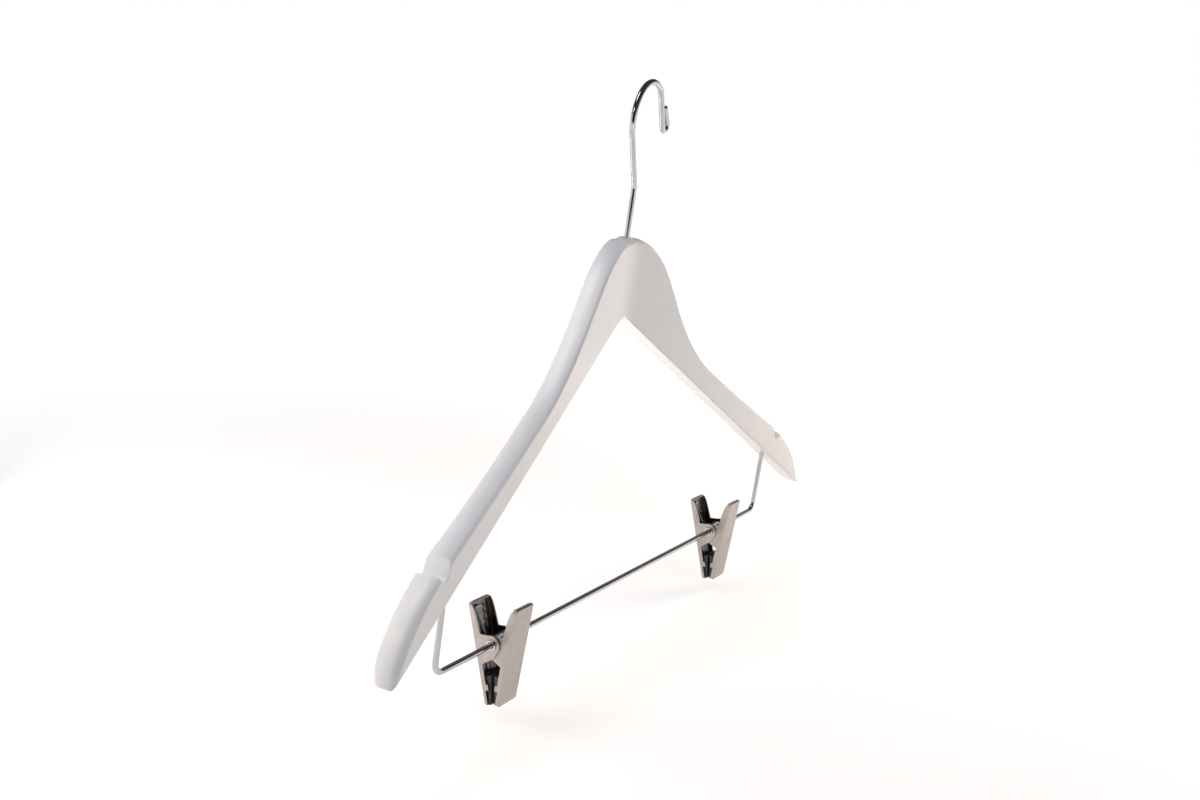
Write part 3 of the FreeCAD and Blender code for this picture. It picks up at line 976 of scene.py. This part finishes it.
@dataclass
class JawPlate:
    """One pressed plate of a clip, upright behind the pivot before it is turned to its place."""

    width: float
    sheet: float = 0.0008
    offset: float = 0.0099
    thumb: float = 0.0214
    jaw: float = 0.0292
    fold: float = 0.0013
    lip: float = 0.0023
    lip_bend: float = 0.0009
    lip_turn: float = math.radians(104.0)
    ear: float = 0.0048
    ear_low: float = 0.0068
    ear_root: float = 0.0092
    root_rise: float = 0.0056
    lip_flange: float = 0.0014
    root_flange: float = 0.0046
    swoop: float = 0.0022
    swoop_share: float = 0.62
    jaw_flange: float = 0.0030
    tab_flange: float = 0.0041
    end_flange: float = 0.0022
    tab_top: float = 0.0195
    tab_length: float = 0.0030
    dot_pitch: float = 0.0036
    dot_rows: int = 4
    dot_columns: tuple = (-0.0031, 0.0031)
    dot_radius: float = 0.0014
    dot_rise: float = 0.00032
    dot_crown: float = 0.8
    dot_top: float = 0.0182
    flute_places: tuple = (-0.0048, -0.0016, 0.0016, 0.0048)
    flute_half: float = 0.0010
    flute_depth: float = 0.00022
    flute_top: float = -0.0040
    flute_end: float = -0.0265
    hole: float = 0.00256
    edge_round: float = 0.00014
    facing: float = 0.5
    step: float = 0.00045
    root_step: float = 0.00008
    ear_step: float = 0.0002
    tab_step: float = 0.0001
    above_ear: float = 0.001
    beside_turn: float = 0.0003
    beside_tab: float = 0.0005
    flange_steps: int = 14
    fold_steps: int = 6
    flat_steps: int = 44
    lip_steps: int = 8

    def depth(self, z: float) -> float:
        """Depth of the side flange at a height over the pivot, the ear included."""
        if z > self.root_rise:
            below = self.thumb - z
            share = self.swoop_share * (1 - math.exp(-below / self.swoop))
            share += (1 - self.swoop_share) * below / (self.thumb - self.root_rise)
            return self.lip_flange + (self.root_flange - self.lip_flange) * share
        if z > self.ear:
            share = (self.root_rise - z) / (self.root_rise - self.ear)
            return self.root_flange + (self.offset - self.root_flange) * share
        if z > -self.ear * math.sqrt(0.5):
            return self.offset + math.sqrt(max(0.0, self.ear ** 2 - z ** 2))
        if z > -self.ear_low:
            return self.offset + self.ear_low + z - (self.ear_low - self.ear * math.sqrt(2))
        if z > -self.ear_root:
            share = (-self.ear_low - z) / (self.ear_root - self.ear_low)
            return self.offset + (self.jaw_flange - self.offset) * share
        if z > -self.tab_top:
            return self.jaw_flange
        if z > -self.tab_top - self.tab_length:
            return self.tab_flange
        return self.end_flange

    def levels(self) -> list[float]:
        """Heights of the rows, close where the flange's edge turns."""
        levels = [self.thumb - self.lip_bend]
        edges = (-self.tab_top, -self.tab_top - self.tab_length)
        while levels[-1] > -self.jaw:
            z = levels[-1]
            step = self.step
            if self.ear - self.above_ear < z < self.root_rise + self.beside_turn:
                step = self.root_step
            elif -self.ear_root - self.beside_turn < z < -self.ear_low + self.beside_turn:
                step = self.ear_step
            elif min(abs(z - edge) for edge in edges) < self.beside_tab:
                step = self.tab_step
            levels.append(z - step)
        levels[-1] = -self.jaw
        return levels

    def relief(self, x: float, z: float) -> float:
        """How far the plate is pressed out: grip dots on the thumb, flutes along the jaw."""
        rise = 0.0
        for column in self.dot_columns:
            for row in range(self.dot_rows):
                away = math.hypot(x - column, z - self.dot_top + row * self.dot_pitch) / self.dot_radius
                if away < 1:
                    rise += self.dot_rise * (1 - away * away) ** self.dot_crown
        for place in self.flute_places:
            away = abs(x - place) / self.flute_half
            past = max(z - self.flute_top, self.flute_end - z, 0.0) / self.flute_half
            near = 1 - away ** 2 - past ** 2
            if near > 0:
                rise -= self.flute_depth * math.sqrt(near)
        return rise

    def strip(self) -> list[tuple[float, float, float]]:
        """Columns across the unfolded sheet as (x, y back from the outer face, flange share)."""
        side = self.width / 2
        flat = side - self.fold
        count = self.flange_steps
        columns = [(-side, self.fold, 1 - step / count) for step in range(count + 1)]
        for step in range(1, self.fold_steps):
            turn = math.pi / 2 * step / self.fold_steps
            columns.append((-flat - self.fold * math.cos(turn), self.fold - self.fold * math.sin(turn), 0.0))
        mirror = [(-x, y, share) for x, y, share in reversed(columns)]
        count = self.flat_steps
        middle = [(-flat + 2 * flat * step / count, 0.0, 0.0) for step in range(count + 1)]
        return columns + middle + mirror

    def build(self, name: str) -> bpy.types.Object:
        """Press the sheet, fold its lip, give it its thickness and pierce its ears.

        Args:
            name: the piece's name.

        Returns:
            The plate about its pivot.
        """
        levels = self.levels()
        columns = self.strip()

        def place(row: int, column: int) -> Vector:
            """Point of the outer face."""
            z = levels[row]
            x, back, share = columns[column]
            press = self.relief(x, z) if back == 0.0 else 0.0
            return Vector((x, self.offset - back - share * (self.depth(z) - self.fold) + press, z))

        plate = patch(name, len(levels), len(columns), place, False)
        self.fold_lip(plate)
        turn_out(plate)
        broad = max(plate.data.polygons, key=lambda face: abs(face.normal.y) * face.area)
        if broad.normal.y < 0:
            plate.data.flip_normals()
        apply(plate, "SOLIDIFY", thickness=self.sheet, offset=-1.0, use_even_offset=True)
        drill(plate, RIGHT * -self.width, RIGHT * self.width, self.hole)
        ease(plate, self.edge_round, degrees=50.0)
        smooth(plate, degrees=32.0)
        # Mark the inner faces, where the finish paints shade.
        self.mark_shaded_inside(plate)
        return plate

    def mark_shaded_inside(self, plate: bpy.types.Object) -> None:
        """Mark the faces that look towards the pivot, which the plate's finish darkens as painted shade."""
        flat = self.width / 2 - self.fold
        marks = plate.data.attributes.new("inside", "FLOAT", "FACE").data
        for face, mark in zip(plate.data.polygons, marks):
            spot = face.center
            out = Vector((0.0, 1.0, 0.0))
            if spot.z > self.thumb - self.lip_bend:
                out = Vector((0.0, 0.7, 0.7))
            elif abs(spot.x) > flat:
                out = RIGHT * math.copysign(1.0, spot.x)
            mark.value = 1.0 if face.normal.dot(out) < -self.facing else 0.0

    def fold_lip(self, plate: bpy.types.Object) -> None:
        """Extrude the plate's top edge and turn it inwards."""
        pick(plate)
        flat = self.width / 2 - self.fold
        for vertex in plate.data.vertices:
            spot = vertex.co
            on_edge = spot.z > self.thumb - self.lip_bend - WELD and abs(spot.x) < flat + WELD
            vertex.select = on_edge and spot.y > self.offset - self.sheet
        for edge in plate.data.edges:
            edge.select = all(plate.data.vertices[corner].select for corner in edge.vertices)
        for face in plate.data.polygons:
            face.select = False
        bpy.ops.object.mode_set(mode="EDIT")
        bpy.ops.mesh.select_mode(type="EDGE")
        part = self.lip_turn / self.lip_steps
        moves = [(part * (step + 0.5), self.lip_bend * part) for step in range(self.lip_steps)]
        moves += [(self.lip_turn, (self.lip - self.lip_bend) / 2)] * 2
        for heading, length in moves:
            move = Vector((0.0, -math.sin(heading), math.cos(heading))) * length
            bpy.ops.mesh.extrude_edges_move(TRANSFORM_OT_translate={"value": move})
        bpy.ops.object.mode_set(mode="OBJECT")


@dataclass
class Grip:
    """A moulded grip that fills the wedge of one jaw."""

    width: float
    spread: float
    offset: float = 0.0099
    sheet: float = 0.0008
    top: float = 0.0155
    jaw: float = 0.0292
    foot: float = 0.0010
    foot_inset: float = 0.0004
    gap: float = 0.0002
    rib_count: int = 8
    rib_depth: float = 0.00035
    rib_steps: int = 8
    soft: float = 0.0005
    soft_steps: int = 4
    face_steps: int = 24
    foot_steps: int = 6
    back_steps: int = 12
    ledge: float = 0.00001
    edge_round: float = 0.00012

    def build(self, name: str) -> bpy.types.Object:
        """Loft the grip from its top to the foot under the plate's end.

        Args:
            name: the piece's name.

        Returns:
            The grip about the clip's pivot.
        """
        inner = self.offset - self.sheet
        bottom = -self.jaw - self.foot
        levels = []
        for step in range(self.soft_steps):
            levels.append(-self.top - self.soft * (1 - math.cos(math.pi / 2 * step / self.soft_steps)))
        high, ledge = -self.top - self.soft, -self.jaw - self.ledge
        for start, end, count in ((high, -self.jaw, self.face_steps), (ledge, bottom, self.foot_steps)):
            levels += [start + (end - start) * step / count for step in range(count + 1)]
        above = self.soft_steps + self.face_steps + 1
        half = self.width / 2
        across = self.rib_steps * self.rib_count

        def outline(row: int) -> list[Vector]:
            """Ring of one level: flat back, ribbed gripping face."""
            z = levels[row]
            from_top = max(0.0, self.soft - (-self.top - z))
            from_foot = max(0.0, self.soft - (z - bottom))
            shrink = self.soft - math.sqrt(max(0.0, self.soft ** 2 - max(from_top, from_foot) ** 2))
            back = inner if row < above else self.offset - self.foot_inset - shrink
            face = -z * math.tan(self.spread) + self.gap
            side = half - shrink
            ring = spread(Vector((side, back, z)), Vector((-side, back, z)), self.back_steps)
            for step in range(across + 1):
                x = -side + 2 * side * step / across
                rib = self.rib_depth * (0.5 - 0.5 * math.cos(2 * math.pi * self.rib_count * step / across))
                ring.append(Vector((x, face + shrink + self.rib_depth - rib, z)))
            return ring + ring[:1]

        rings = [outline(row) for row in range(len(levels))]
        grip = patch(name, len(rings), len(rings[0]), lambda row, spot: rings[row][spot], True)
        ease(grip, self.edge_round, degrees=60.0)
        smooth(grip, degrees=40.0)
        return grip


@dataclass
class Spring:
    """The torsion spring round a clip's rivet."""

    spread: float
    radius: float = 0.00055
    coil: float = 0.0034
    pitch: float = 0.00165
    loops: int = 6
    reach: float = 0.0180
    stand: float = 0.00025
    tail: float = 0.005
    bend: float = 0.0016
    plate_face: float = 0.0091
    twist_from: float = 0.0025
    loop_steps: int = 36

    def build(self, name: str) -> bpy.types.Object:
        """Sweep one wire from a bent end down a leg, round the coil and up the other leg.

        Args:
            name: the piece's name.

        Returns:
            The spring about the clip's pivot.
        """
        side = self.plate_face - self.stand - self.radius
        bearing = math.atan2(side, self.reach) + self.spread
        length = math.hypot(side, self.reach)
        start = bearing + math.acos(self.coil / length)
        total = 2 * math.pi * self.loops - 2 * start
        rate = self.pitch / (2 * math.pi)
        run = math.sqrt(length ** 2 - self.coil ** 2)
        steps = self.loop_steps * self.loops
        coil = []
        for step in range(steps + 1):
            turn = start + total * step / steps
            x = rate * (turn - start - total / 2)
            coil.append(Vector((x, self.coil * math.sin(turn), self.coil * math.cos(turn))))

        def leg(turn: float, sign: int) -> list[Vector]:
            """Points of a leg from the coil outwards."""
            heading = Vector((rate, self.coil * math.cos(turn), -self.coil * math.sin(turn)))
            heading = heading.normalized() * sign
            root = coil[0] if sign < 0 else coil[-1]
            across = RIGHT * -sign
            corner = root + heading * run
            centre = corner - heading * self.bend + across * self.bend
            points = spread(root, corner - heading * self.bend, steps=6)[1:]
            points += arc(centre, -across * self.bend, heading * self.bend, 0.0, math.pi / 2, steps=10)[1:]
            return points + spread(points[-1], corner + across * self.tail, steps=4)[1:]

        first = list(reversed(leg(start, -1)))
        return tube(name, first + coil + leg(start + total, 1), self.radius, round_end=True, ring=6)


@dataclass
class Clip:
    """One sprung clip: two plates, their grips, the rivet and the spring."""

    side: Side
    plating: bpy.types.Material
    plate: bpy.types.Material
    grip: bpy.types.Material
    spread: float = math.radians(11.2)
    tilt: float = math.radians(8.2)
    width: float = 0.0162
    shift: float = 0.000475
    grip_inset: float = 0.0022
    rivet_bore: float = 0.00157
    rivet_radius: float = 0.0025
    rivet_flange: float = 0.00275
    rivet_reach: float = 0.008675
    rivet_sheet: float = 0.0005
    mouth_share: float = 0.4
    mouth_steps: int = 6
    rim_steps: int = 10

    def pivot(self) -> Vector:
        """Place of the clip's pivot on the bar."""
        slide = f"{self.side.value}_clip_slide"
        return Vector(next(joint["pos_m"] for joint in frame["joints"] if joint["name"] == slide))

    def hang(self) -> Matrix:
        """Turn from an upright clip at the origin to its place on the bar."""
        return Matrix.Translation(self.pivot()) @ Matrix.Rotation(-self.tilt, 4, "X")

    def rivet(self) -> bpy.types.Object:
        """Turn the hollow rivet, its rolled flanges outside the ears."""
        lip = self.rivet_sheet
        mouth = lip * self.mouth_share
        rim = lip / 2
        end = self.rivet_reach + lip - mouth
        outline = [Vector((sign * end, 0.0, self.rivet_bore)) for sign in (-1, 1)]
        for sign in (1, -1):
            out = RIGHT * sign
            shoulder = out * end + UP * (self.rivet_bore + mouth)
            roll = out * (self.rivet_reach + rim) + UP * (self.rivet_flange - rim)
            first = math.pi / 2 / self.mouth_steps
            flange = arc(shoulder, -UP * mouth, out * mouth, first, math.pi / 2, self.mouth_steps - 1)
            flange += arc(roll, out * rim, UP * rim, 0.0, math.pi, self.rim_steps)
            flange.append(out * self.rivet_reach + UP * self.rivet_radius)
            outline += flange if sign > 0 else flange[::-1]
        outline.append(outline[0])

        def place(row: int, column: int) -> Vector:
            """Point of the outline turned about the bar."""
            turn = 2 * math.pi * (row % ROUND) / ROUND
            spot = outline[column]
            return Vector((spot.x, spot.z * math.sin(turn), spot.z * math.cos(turn)))

        rivet = patch(f"{self.side.value}_hollow_rivet", ROUND + 1, len(outline), place, True)
        smooth(rivet, degrees=40.0)
        return rivet

    def build(self) -> None:
        """Make the clip's pieces, hang them on the bar and dress them."""
        side = self.side.value
        hang = self.hang()
        rivet = self.rivet()
        rivet.data.transform(hang)
        dress(rivet, self.plating, f"{side}_slider", "nickel", f"{side}_rivet")
        coil = Spring(self.spread)
        spring = coil.build(f"{side}_coil_spring")
        spring.data.transform(hang)
        back, front = (hang @ Vector((0.0, sign * coil.twist_from, 0.0)) for sign in (1, -1))
        dress(spring, self.plating, f"{side}_clip", "spring_steel", f"{side}_spring",
              towards=(f"{side}_front", back, front))
        for jaw, body in ((Jaw.BACK, f"{side}_clip"), (Jaw.FRONT, f"{side}_front")):
            name = f"{side}_{jaw.name.lower()}"
            turn = hang @ Matrix.Rotation(jaw.value, 4, "Z") @ Matrix.Rotation(-self.spread, 4, "X")
            turn = turn @ Matrix.Translation((-self.shift, 0.0, 0.0))
            plate = JawPlate(self.width).build(f"{name}_plate")
            plate.data.transform(turn)
            dress(plate, self.plate, body, "nickel", f"{name}_jaw")
            grip = Grip(self.width - self.grip_inset, self.spread).build(f"{name}_moulding")
            grip.data.transform(turn)
            dress(grip, self.grip, body, "black_grip", f"{name}_grip")


# Light, floor and camera


@dataclass(frozen=True)
class Softbox:
    """A soft lamp that is turned to the hanger; only a mirrored one shows as a sheen on paint and metal."""

    name: str
    place: tuple
    size: tuple
    power: float
    colour: tuple
    mirrored: bool = False
    sideways: float = 0.5

    def hang(self, aim: Vector) -> None:
        """Hang the lamp and turn it to a point."""
        start_clean()
        bpy.ops.object.light_add(type="AREA", location=self.place)
        lamp = bpy.context.object
        lamp.name = self.name
        lamp.data.shape = "RECTANGLE"
        lamp.data.size, lamp.data.size_y = self.size
        lamp.data.energy = self.power
        lamp.data.color = self.colour
        lamp.visible_camera = False
        lamp.visible_glossy = self.mirrored
        back = (Vector(self.place) - aim).normalized()
        level = Vector((0.0, 1.0, 0.0)) if abs(back.x) < self.sideways else UP
        side = level.cross(back).normalized()
        turn = Matrix((side, back.cross(side), back)).transposed()
        lamp.matrix_world = Matrix.Translation(self.place) @ turn.to_4x4()


@dataclass
class Studio:
    """A pale floor, soft light and the photograph's camera."""

    eye: tuple = (-0.6406, -0.3443, 0.0118)
    yaw: float = math.radians(61.63)
    pitch: float = math.radians(14.16)
    roll: float = math.radians(8.41)
    focal_pixels: float = 1350.0
    image_width: float = 1200.0
    sensor: float = 36.0
    clip_start: float = 0.01
    floor_gap: float = 0.007
    floor_size: float = 12.0
    floor_colour: tuple = (0.62, 0.60, 0.58)
    floor_bounce: tuple = (1.0, 0.95, 0.91)
    floor_glow: float = 0.15
    floor_seen: float = 0.32
    floor_far: float = 0.42
    far_from: tuple = (0.25, 0.9)
    ceiling_lean: tuple = (0.0, 0.38, 0.925)
    ceiling_from: tuple = (0.08, 0.70)
    room_light: tuple = (0.09, 0.09, 0.09)
    ceiling_light: tuple = (0.49, 0.50, 0.55)
    mirror_from: tuple = (0.02, 0.34)
    ceiling_mirror: tuple = (0.05, 0.05, 0.06)
    card_place: tuple = (-1.35, -0.75, 0.25)
    card_size: tuple = (2.8, 1.3)
    card_colour: tuple = (0.02, 0.02, 0.02)
    lamps: tuple = (
        Softbox("key_softbox", (0.65, -0.22, -0.03), (0.16, 0.5), 2.7, (1.0, 0.84, 0.70)),
        Softbox("fill_softbox", (0.30, -0.25, -0.22), (0.15, 0.15), 0.13, (1.0, 0.86, 0.74)),
        Softbox("front_softbox", (-0.30, -0.90, 0.55), (0.6, 0.6), 2.1, (0.96, 0.98, 1.0)),
        Softbox("back_softbox", (0.10, 0.60, 1.00), (1.0, 1.0), 0.3, (0.95, 0.97, 1.0)),
        Softbox("strip_softbox", (-0.41, 0.36, 0.86), (0.46, 0.22), 1.8, (0.96, 0.98, 1.0), True),
        Softbox("tip_softbox", (-0.826, 0.222, 0.342), (0.22, 0.16), 0.6, (0.96, 0.98, 1.0), True),
        Softbox("under_softbox", (-0.25, 0.25, -0.27), (0.3, 0.3), 2.9, (1.0, 0.91, 0.81)),
    )

    def camera(self) -> None:
        """Place the camera as the photograph was taken."""
        bpy.ops.object.camera_add(location=self.eye)
        camera = bpy.context.object
        camera.data.sensor_width = self.sensor
        camera.data.lens = self.focal_pixels / self.image_width * self.sensor
        camera.data.clip_start = self.clip_start
        ahead = Vector((math.sin(self.yaw), math.cos(self.yaw), 0.0))
        look = ahead * math.cos(self.pitch) - UP * math.sin(self.pitch)
        level = Vector((math.cos(self.yaw), -math.sin(self.yaw), 0.0))
        over = level.cross(look)
        right = level * math.cos(self.roll) + over * math.sin(self.roll)
        up = right.cross(look)
        turn = Matrix((right, up, -look)).transposed()
        camera.matrix_world = Matrix.Translation(Vector(self.eye)) @ turn.to_4x4()
        bpy.context.scene.camera = camera

    @staticmethod
    def seen(graph: Graph) -> Value:
        """1 for rays from the camera, from a sheen and through glass, and 0 for the others."""
        kinds = ("Is Camera Ray", "Is Glossy Ray", "Is Transmission Ray")
        camera, glossy, through = (graph.node("ShaderNodeLightPath", output=kind) for kind in kinds)
        return camera.math("MAXIMUM", glossy).math("MAXIMUM", through)

    def floor(self) -> None:
        """Lay a pale floor that keeps the object's shadow and reads as white."""
        start_clean()
        level = CAD_BOX[0][2] - self.floor_gap
        bpy.ops.mesh.primitive_plane_add(size=self.floor_size, location=(0.0, 0.0, level))
        floor = bpy.context.object
        floor.name = "floor"
        colour = (*self.floor_colour, 1.0)
        graph = Graph("pale_floor", Base_Color=colour, Roughness=1.0, Specular_IOR_Level=0.0)
        seen = self.seen(graph)
        x, y, _ = graph.place()
        far = (x * x + y * y).math("SQRT").step(*self.far_from)
        graph.set(Emission_Strength=seen * (far * self.floor_far + self.floor_seen) + self.floor_glow)
        graph.set(Emission_Color=graph.tint(seen, self.floor_bounce, WHITE))
        floor.data.materials.append(graph.material)
        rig.stage(floor)

    def world(self) -> None:
        """Light the hanger from a ceiling that is bright at the back; sheen mirrors a white sweep."""
        world = bpy.data.worlds.new("studio")
        bpy.context.scene.world = world
        world.use_nodes = True
        nodes, links = world.node_tree.nodes, world.node_tree.links
        heading = nodes.new("ShaderNodeTexCoord").outputs["Generated"]

        def rise(lean: Sequence[float], ends: tuple) -> bpy.types.NodeSocket:
            """Smooth step of a ray's heading along a lean, from the first end to the second."""
            along = nodes.new("ShaderNodeVectorMath")
            along.operation = "DOT_PRODUCT"
            links.new(heading, along.inputs[0])
            along.inputs[1].default_value = lean
            step = nodes.new("ShaderNodeMapRange")
            step.interpolation_type = "SMOOTHSTEP"
            step.inputs["From Min"].default_value, step.inputs["From Max"].default_value = ends
            links.new(along.outputs["Value"], step.inputs["Value"])
            return step.outputs[0]

        path = nodes.new("ShaderNodeLightPath")

        def mix(factor: bpy.types.NodeSocket, low: object, high: object) -> bpy.types.NodeSocket:
            """Blend two colours, each a constant or a link."""
            node = nodes.new("ShaderNodeMix")
            node.data_type = "RGBA"
            links.new(factor, node.inputs["Factor"])
            for socket, value in ((node.inputs[6], low), (node.inputs[7], high)):
                if isinstance(value, tuple):
                    socket.default_value = (*value, 1.0)
                else:
                    links.new(value, socket)
            return node.outputs[2]

        soft = mix(rise(self.ceiling_lean, self.ceiling_from), self.room_light, self.ceiling_light)
        sharp = mix(rise(UP, self.mirror_from), WHITE, self.ceiling_mirror)
        lit = mix(path.outputs["Is Glossy Ray"], soft, sharp)
        shown = mix(path.outputs["Is Camera Ray"], lit, WHITE)
        links.new(shown, nodes["Background"].inputs["Color"])

    def card(self) -> None:
        """Stand a dark card behind the camera, which the bright wire mirrors."""
        start_clean()
        bpy.ops.mesh.primitive_plane_add(size=1.0)
        card = bpy.context.object
        card.name = "dark_card"
        place = Vector(self.card_place)
        aim = Vector((0.0, 0.0, place.z)) - place
        turn = aim.to_track_quat("Z", "Y").to_matrix().to_4x4()
        card.data.transform(Matrix.Translation(place) @ turn @ Matrix.Diagonal((*self.card_size, 1.0, 1.0)))
        card.visible_camera = card.visible_diffuse = card.visible_shadow = False
        colour = (*self.card_colour, 1.0)
        graph = Graph("dark_card", Base_Color=colour, Roughness=1.0, Specular_IOR_Level=0.0)
        card.data.materials.append(graph.material)
        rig.stage(card)

    def build(self) -> None:
        """Set up the floor, the light, the camera and the view transform."""
        self.floor()
        self.world()
        self.card()
        middle = (Vector(CAD_BOX[0]) + Vector(CAD_BOX[1])) / 2
        for lamp in self.lamps:
            lamp.hang(middle)
        self.camera()
        bpy.context.scene.view_settings.view_transform = "Standard"


def main() -> None:
    """Build the hanger's sub-assemblies in order."""
    logging.basicConfig(level=logging.INFO, format="%(message)s")
    plating = PlatedWire().material()
    fittings = PlatedWire("plain_steel", colour=(0.56, 0.56, 0.57), shade=(0.46, 0.46, 0.47),
                          roughness=0.26, mark=0.0005).material()
    wire = PlatedWire("spring_wire", colour=(0.66, 0.65, 0.64), shade=(0.52, 0.51, 0.50),
                      roughness=0.16, mark=0.0004).material()
    plate = BrushedPlate().material()
    grip = MouldedGrip().material()
    Board(SatinPaint().material()).build()
    Hook(plating).build()
    ClipBar(plating).build()
    for node in ("hook_bush", "hook_washer", "hook_collar"):
        hidden = frame["nodes"][node]
        hidden.data.materials.clear()
        hidden.data.materials.append(fittings)
    for side in Side:
        Clip(side, wire, plate, grip).build()
    Studio().build()
    with open("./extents.json", "w") as out:
        json.dump({"cad": [list(corner) for corner in CAD_BOX],
                   "visual": [list(corner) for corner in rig.bounds()]}, out)


if __name__ == "__main__":
    main()
